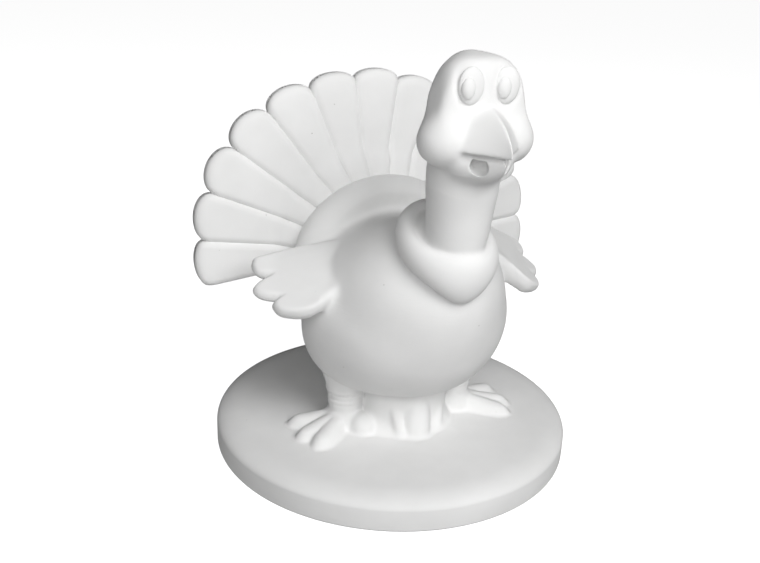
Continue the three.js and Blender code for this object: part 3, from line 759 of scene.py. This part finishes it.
# Neck and head. A plain clay column that swells towards the head and rounds in where it enters the collar,
# and a pear-shaped head with a flat face, brows, cheeks and a muzzle, luted on top of it.
neck_length = 58.5
neck_reach = 4.2
neck_facets = 64
neck_foot = belly_middle + Vector((0, -29.5, 13))
skull = neck_foot + Vector((0, -neck_reach, neck_length))
neck_stations = [
    (9, 3.9, 7), (11, 6.6, 7), (13.2, 7.8, 7), (15.7, 8.3, 5), (18.1, 8.7, 3.5), (20.5, 9.0, 1.2),
    (23, 9.2, 0), (30, 9.7, 0), (36.2, 10.3, 0), (41, 10.5, 0), (45, 10.6, 0), (52, 9, 0),
    (neck_length, 5.3, 0),
]
neck_rings = []
for rise, radius, sweep in neck_stations:
    middle = neck_foot.lerp(skull, rise / neck_length) + Vector((0, sweep / 2, 0))
    neck_rings.append(oval(middle, radius, radius + sweep / 2, neck_facets))
neck_lump = rolled(neck_rings)
cranium = (skull + Vector((0, 3, 0)), (9.8, 11, 14.3))
flat_face = (skull + Vector((0, -2.6, 0)), (13, 6.2, 13.8), 5)
muzzle = (skull + Vector((0, -6, -9.4)), (8, 6, 6.4))
cheek_radii = (7.6, 7.2, 7.2)
brow_radii = (5.4, 5, 5)
head_eggs = [cranium, flat_face, muzzle]
for sign in (-1, 1):
    head_eggs.append((skull + Vector((sign * 9.4, -3.8, -8)), cheek_radii))
    head_eggs.append((skull + Vector((sign * 4.6, -3.2, 8)), brow_radii))
head_blend = 4
head_fineness = 6
eye_spread = 5.3
eye_rise = 7.0
eye_radii = (3.75, 1.6, 4.9)
eye_groove = 0.55
eye_groove_width = 0.9


def head_gap(spots):
    """How far points lie outside the head, which has a soft groove pressed in round each eye."""
    gap = eggs_gap(spots, head_eggs, head_blend)
    for sign in (-1, 1):
        across = (spots[:, 0] - sign * eye_spread) / eye_radii[0]
        up = (spots[:, 2] - skull.z - eye_rise) / eye_radii[2]
        away = (np.hypot(across, up) - 1) * eye_radii[0]
        front = spots[:, 1] < skull.y
        gap = gap + np.where(front, eye_groove * np.exp(-(away / eye_groove_width) ** 2), 0)
    return gap


head_lump = blown(head_gap, skull, 0, head_fineness)

# Eyes. Low raised ovals of clay pressed onto the face and fixed with slip, each with a smaller raised pupil
# that glances to the bird's right.
eye_proud = 0.6
pupil_radii = (2.0, 1.4, 2.9)
pupil_glance = 1.3
pupil_drop = 0.5
pupil_proud = 0.85
well_ahead = 60
head_tree = BVHTree.FromBMesh(head_lump)
for side, sign in sides:
    start = skull + Vector((sign * eye_spread, -well_ahead, eye_rise))
    face = head_tree.ray_cast(start, Vector((0, 1, 0)))[0]
    eye = face + Vector((0, eye_radii[1] - eye_proud, 0))
    bulge = math.sqrt(1 - (pupil_glance / eye_radii[0]) ** 2 - (pupil_drop / eye_radii[2]) ** 2)
    pupil = eye + Vector((-pupil_glance, pupil_radii[1] - pupil_proud - eye_radii[1] * bulge, -pupil_drop))
    fired(side + "_eye", smooth_bisque, egg(eye, eye_radii))
    fired(side + "_pupil", smooth_bisque, egg(pupil, pupil_radii))

# Beak. An upper horn of clay with a soft ridge, luted to the face, which overhangs a lower jaw. The open
# mouth is scooped out between them with a loop tool.
beak_taper_fall = 1.25
beak_ridge_fall = 2.0
beak_bluntness = 0.57
beak_stations = (0, 0.1, 0.2, 0.3, 0.4, 0.5, 0.6, 0.7, 0.78, 0.85, 0.91, 0.95, 0.98, 0.995)
beak_facets = 64
mouth_place = (3.4, -13.0, -13.0)
mouth_radii = (2.7, 4.6, 2.6)
mouth_turn = math.radians(32)
mouth_roof = skull.z - 11.3


def horn(root, tip, ridge, half_width, floor, sharpness, taper):
    """A tapering horn with a ridge above."""
    rings = []
    for share in beak_stations:
        narrow = min(1, (1 - share) / taper) ** beak_taper_fall
        low = (1 - share ** beak_ridge_fall) ** beak_bluntness
        ring = []
        for step in range(beak_facets):
            turn = 2 * math.pi * step / beak_facets
            wide = math.copysign(abs(math.cos(turn)) ** sharpness, math.cos(turn))
            high = math.copysign(abs(math.sin(turn)) ** sharpness, math.sin(turn))
            height = ridge if high > 0 else floor
            aside = Vector((half_width * narrow * wide, 0, height * low * high))
            ring.append(root.lerp(tip, share) + aside)
        rings.append(ring)
    return rolled(rings)


upper_beak = horn(
    skull + Vector((0, 0, -9.5)), skull + Vector((0, -23.2, -9.3)),
    ridge=12.4, half_width=11, floor=1.2, sharpness=1.5, taper=0.6
)
lower_beak = horn(
    skull + Vector((0, 0, -14.4)), skull + Vector((0, -20.4, -11.2)),
    ridge=2.4, half_width=9.6, floor=7.2, sharpness=1, taper=0.55
)
mouth = []
for sign in (-1, 1):
    scoop = egg(Vector((0, 0, 0)), mouth_radii)
    bmesh.ops.rotate(scoop, matrix=Matrix.Rotation(sign * mouth_turn, 3, "Z"), verts=scoop.verts)
    corner = skull + Vector((sign * mouth_place[0], mouth_place[1], mouth_place[2]))
    bmesh.ops.translate(scoop, vec=corner, verts=scoop.verts)
    flat = bmesh.ops.bisect_plane(
        scoop, geom=scoop.verts[:] + scoop.edges[:] + scoop.faces[:],
        plane_co=(0, 0, mouth_roof), plane_no=(0, 0, 1), clear_outer=True
    )
    rim = [edge for edge in flat["geom_cut"] if isinstance(edge, bmesh.types.BMEdge)]
    bmesh.ops.holes_fill(scoop, edges=rim, sides=0)
    mouth.append(scoop)

# Luting. The body, wings, collar, neck, head and beak are joined with slip and sponged: the wings, the collar
# and the head run softly into what carries them, and the beak keeps its edges. For each joint, the reach of
# the sponge and how often it passes are given.
slip_joints = (
    ("body_shell", "right_wing", 5, 30),
    ("body_shell", "left_wing", 5, 30),
    ("body_shell", "collar", 1.2, 4),
    ("collar", "neck", 2.5, 14),
    ("body_shell", "neck", 2.5, 14),
    ("neck", "head", 6, 90),
    ("head", "upper_beak", 1, 3),
    ("head", "lower_beak", 3, 30),
    ("neck", "lower_beak", 4, 60),
)
trunk_sources = {
    "body_shell": gathered([body_lump, collar_bed]),
    "right_wing": wing_lumps["right_wing"],
    "left_wing": wing_lumps["left_wing"],
    "collar": collar_lump,
    "neck": neck_lump,
    "head": head_lump,
    "upper_beak": upper_beak,
    "lower_beak": lower_beak,
}
trunk_names = list(trunk_sources)
trunk_hollows = [body_hollow, drain_rod(0, belly_middle.z)] + mouth
trunk_skin = pressed(list(trunk_sources.values()), skin_grain, trunk_hollows)
trunk_sources["body_shell"] = gathered([trunk_sources["body_shell"], body_hollow])
trunk_sources["lower_beak"] = gathered([lower_beak] + mouth)
trunk_owner = owners(trunk_skin, list(trunk_sources.values()))
sponged(trunk_skin, trunk_skin.verts, skin_sponging)
for first, second, reach, rounds in slip_joints:
    pair = {trunk_names.index(first), trunk_names.index(second)}
    seam = [vert for vert, (mine, gap, other) in zip(trunk_skin.verts, trunk_owner)
            if gap < reach and {mine, other} == pair]
    sponged(trunk_skin, seam, rounds)


def trunk_face(face):
    """The piece that a face of the trunk belongs to."""
    tally = [trunk_owner[vert.index][0] for vert in face.verts]
    return trunk_names[max(set(tally), key=tally.count)]


inner_hubs = {
    "head": skull,
    "neck": neck_foot.lerp(skull, 0.6),
    "lower_beak": skull + Vector((0, -4, -12.4)),
}
for node, skin in parted(trunk_skin, trunk_face, trunk_names, inner_hubs):
    clay = fettled_bisque if node == "body_shell" else smooth_bisque
    shaded(fired(node, clay, skin))

# Floor. A plain sheet of matte white paper, wide enough to fill the view. It is evenly bright and throws no
# light back onto the figure.
floor_half_width = 6
floor = bmesh.new()
bmesh.ops.create_grid(floor, x_segments=1, y_segments=1, size=floor_half_width)
floor_mesh = bpy.data.meshes.new("floor")
floor.to_mesh(floor_mesh)
floor_paper = bpy.data.materials.new("floor_paper")
floor_paper.use_nodes = True
paper = floor_paper.node_tree.nodes["Principled BSDF"].inputs
paper["Base Color"].default_value = (0.94, 0.94, 0.94, 1)
paper["Emission Color"].default_value = (1, 1, 1, 1)
paper["Emission Strength"].default_value = 0.92
paper["Roughness"].default_value = 1
floor_mesh.materials.append(floor_paper)
floor_object = bpy.data.objects.new("floor", floor_mesh)
floor_object.visible_diffuse = False
floor_object.visible_glossy = False
bpy.context.scene.collection.objects.link(floor_object)

# Light. Two soft boxes in front, the stronger one high and close, a little to the bird's left, and the other
# lower on its right, in a dim white room that throws a little light back up from below. For each box, its
# turn and height in degrees, distance, width and power are given.
light_aim = Vector((0, -0.01, 0.07))
soft_boxes = (
    ("key_light", 9, 40, 0.65, 0.4, 3.3),
    ("fill_light", -35, 25, 0.8, 0.4, 2.1),
)
for name, turn, height, distance, width, power in soft_boxes:
    lamp = bpy.data.lights.new(name, "AREA")
    lamp.shape = "SQUARE"
    lamp.size = width
    lamp.energy = power
    light = bpy.data.objects.new(name, lamp)
    light.matrix_world = (
        Matrix.Translation(light_aim)
        @ Matrix.Rotation(math.radians(turn), 4, "Z")
        @ Matrix.Rotation(math.radians(90 - height), 4, "X")
        @ Matrix.Translation((0, 0, distance))
    )
    bpy.context.scene.collection.objects.link(light)
room = bpy.data.worlds.new("room")
room.use_nodes = True
nodes = room.node_tree.nodes
links = room.node_tree.links
direction = nodes.new("ShaderNodeTexCoord")
upright = nodes.new("ShaderNodeSeparateXYZ")
glow = nodes.new("ShaderNodeMapRange")
glow.inputs["From Min"].default_value = -0.05
glow.inputs["From Max"].default_value = 0.05
glow.inputs["To Min"].default_value = 0.34
glow.inputs["To Max"].default_value = 0.04
links.new(direction.outputs["Generated"], upright.inputs["Vector"])
links.new(upright.outputs["Z"], glow.inputs["Value"])
links.new(glow.outputs["Result"], nodes["Background"].inputs["Strength"])
nodes["Background"].inputs["Color"].default_value = (1, 1, 1, 1)
bpy.context.scene.world = room
bpy.context.scene.view_settings.view_transform = "Standard"

# Camera. It looks down at the bird's right front from about a third of a metre away, rolled a little to one
# side. The focal length is given in widths of the picture.
view_turn = math.radians(-25.5)
view_height = math.radians(30.03)
view_distance = 0.32352
view_swing = math.radians(1.18)
view_dip = math.radians(90 - 20.77)
view_roll = math.radians(2.67)
focal_length = 900 / 760
sensor_width = 36
camera = bpy.data.cameras.new("camera")
camera.sensor_width = sensor_width
camera.lens = sensor_width * focal_length
camera.clip_start = 0.01
camera_object = bpy.data.objects.new("camera", camera)
stand_point = Vector((0, -view_distance * math.cos(view_height), view_distance * math.sin(view_height)))
camera_object.matrix_world = (
    Matrix.Rotation(view_turn, 4, "Z")
    @ Matrix.Translation(stand_point)
    @ Matrix.Rotation(view_swing, 4, "Z")
    @ Matrix.Rotation(view_dip, 4, "X")
    @ Matrix.Rotation(view_roll, 4, "Z")
)
bpy.context.scene.collection.objects.link(camera_object)
bpy.context.scene.camera = camera_object
